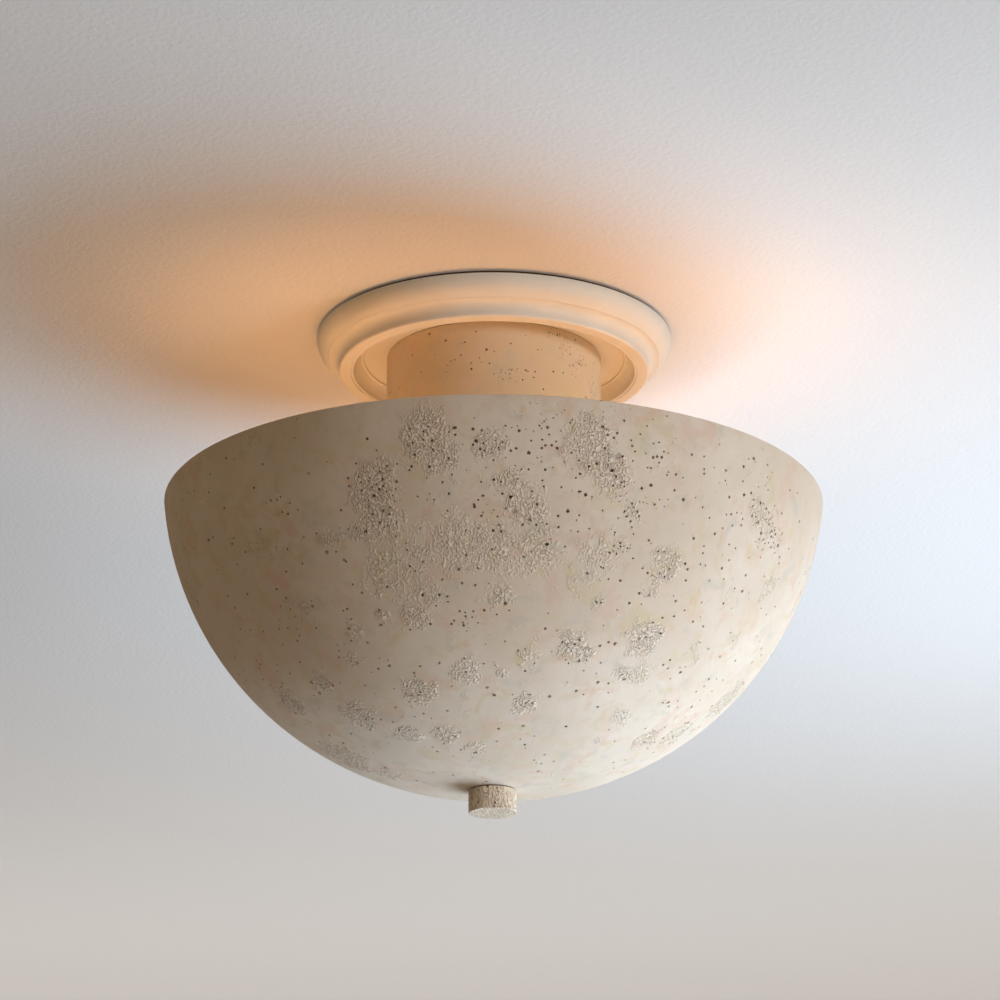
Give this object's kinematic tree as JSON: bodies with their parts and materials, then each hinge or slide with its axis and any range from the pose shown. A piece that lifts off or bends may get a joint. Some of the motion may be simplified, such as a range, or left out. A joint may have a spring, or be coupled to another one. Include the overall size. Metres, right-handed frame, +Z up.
{
  "type": "ceiling light",
  "caption": "Flush mount ceiling light: stone-look bowl hung on a threaded pipe under a moulded canopy ring and cylinder, with screw-in bulbs inside",
  "frame": {"origin": "middle of the ceiling plane, on the light's axis, level with the top of the crossbar and gasket", "axes": "+Z up into the ceiling, along the light's axis; +X along the crossbar; +Y towards the first bulb"},
  "size_m": [0.4062, 0.4062, 0.3079],
  "materials": {
    "ring_white": "matte",
    "travertine": "matte",
    "finial_travertine": "matte",
    "gasket_foam": "matte",
    "zinc_steel": "satin",
    "plate_white": "satin",
    "green_screw": "satin",
    "bare_copper": "satin",
    "tinned_lug": "satin",
    "socket_brass": "satin",
    "porcelain": "gloss",
    "cap_aluminium": "satin",
    "bulb_plastic": "matte",
    "board_white": "matte",
    "black_insulation": "satin",
    "white_insulation": "satin",
    "connector_orange": "satin",
    "black_rubber": "matte",
    "pad_silicone": "matte",
    "bulb_globe": "matte"
  },
  "bodies": {
    "root": {"ceiling_gasket": "gasket_foam", "canopy_ring": "ring_white", "crossbar": "zinc_steel", "ground_screw": "green_screw", "ground_wire": "bare_copper", "ground_lug": "tinned_lug", "centre_pipe": "zinc_steel", "crossbar_nut": "zinc_steel", "canopy_cylinder": "travertine", "socket_plate": "plate_white", "wire_grommets": "black_rubber", "plate_washer": "zinc_steel", "plate_nut": "zinc_steel", "bracket_screws": "zinc_steel", "bracket_nuts": "zinc_steel", "holder_nipples": "zinc_steel", "holder_nuts": "zinc_steel", "black_connector": "connector_orange", "white_connector": "connector_orange", "stop_nuts": "zinc_steel", "holder_bracket_1": "zinc_steel", "lampholder_1": "porcelain", "screw_shell_1": "socket_brass", "centre_contact_1": "socket_brass", "black_lead_1": "black_insulation", "white_lead_1": "white_insulation", "holder_bracket_2": "zinc_steel", "lampholder_2": "porcelain", "screw_shell_2": "socket_brass", "centre_contact_2": "socket_brass", "black_lead_2": "black_insulation", "white_lead_2": "white_insulation", "holder_bracket_3": "zinc_steel", "lampholder_3": "porcelain", "screw_shell_3": "socket_brass", "centre_contact_3": "socket_brass", "black_lead_3": "black_insulation", "white_lead_3": "white_insulation"},
    "bowl": {"bowl": "travertine", "bowl_pad": "pad_silicone", "bowl_plate": "zinc_steel"},
    "finial_washer": {"finial_washer": "black_rubber"},
    "finial": {"finial": "finial_travertine", "finial_insert": "socket_brass"},
    "bulb_1_tip": {"bulb_tip_1": "zinc_steel"},
    "bulb_1": {"bulb_cap_1": "cap_aluminium", "bulb_body_1": "bulb_plastic", "led_board_1": "board_white", "bulb_globe_1": "bulb_globe"},
    "bulb_2_tip": {"bulb_tip_2": "zinc_steel"},
    "bulb_2": {"bulb_cap_2": "cap_aluminium", "bulb_body_2": "bulb_plastic", "led_board_2": "board_white", "bulb_globe_2": "bulb_globe"},
    "bulb_3_tip": {"bulb_tip_3": "zinc_steel"},
    "bulb_3": {"bulb_cap_3": "cap_aluminium", "bulb_body_3": "bulb_plastic", "led_board_3": "board_white", "bulb_globe_3": "bulb_globe"}
  },
  "joints": [
    {"name": "bowl_lower", "type": "slide", "parent": "root", "child": "bowl", "axis": [0, 0, 1], "range_m": [-0.2, 0]},
    {"name": "finial_drop", "type": "slide", "parent": "bowl", "child": "finial_washer", "axis": [0, 0, 1], "range_m": [-0.01, 0]},
    {"name": "finial_unscrew", "type": "hinge", "parent": "finial_washer", "child": "finial", "pos_m": [0, 0, -0.29425], "axis": [0, 0, 1], "range_deg": [0, 3602]},
    {"name": "bulb_1_out", "type": "slide", "parent": "root", "child": "bulb_1_tip", "axis": [0, 0.9659, -0.2588], "range_m": [0, 0.024]},
    {"name": "bulb_1_unscrew", "type": "hinge", "parent": "bulb_1_tip", "child": "bulb_1", "pos_m": [0, 0.022, -0.14301], "axis": [0, 0.9659, -0.2588], "range_deg": [0, 2382]},
    {"name": "bulb_2_out", "type": "slide", "parent": "root", "child": "bulb_2_tip", "axis": [-0.8365, -0.483, -0.2588], "range_m": [0, 0.024]},
    {"name": "bulb_2_unscrew", "type": "hinge", "parent": "bulb_2_tip", "child": "bulb_2", "pos_m": [-0.01905, -0.011, -0.14301], "axis": [-0.8365, -0.483, -0.2588], "range_deg": [0, 2382]},
    {"name": "bulb_3_out", "type": "slide", "parent": "root", "child": "bulb_3_tip", "axis": [0.8365, -0.483, -0.2588], "range_m": [0, 0.024]},
    {"name": "bulb_3_unscrew", "type": "hinge", "parent": "bulb_3_tip", "child": "bulb_3", "pos_m": [0.01905, -0.011, -0.14301], "axis": [0.8365, -0.483, -0.2588], "range_deg": [0, 2382]}
  ],
  "couplings": [
    {"joint": "finial_unscrew", "follows": "finial_drop", "rad_per_m": -6283.2},
    {"joint": "bulb_1_unscrew", "follows": "bulb_1_out", "rad_per_m": 1730.9},
    {"joint": "bulb_2_unscrew", "follows": "bulb_2_out", "rad_per_m": 1730.9},
    {"joint": "bulb_3_unscrew", "follows": "bulb_3_out", "rad_per_m": 1730.9}
  ]
}
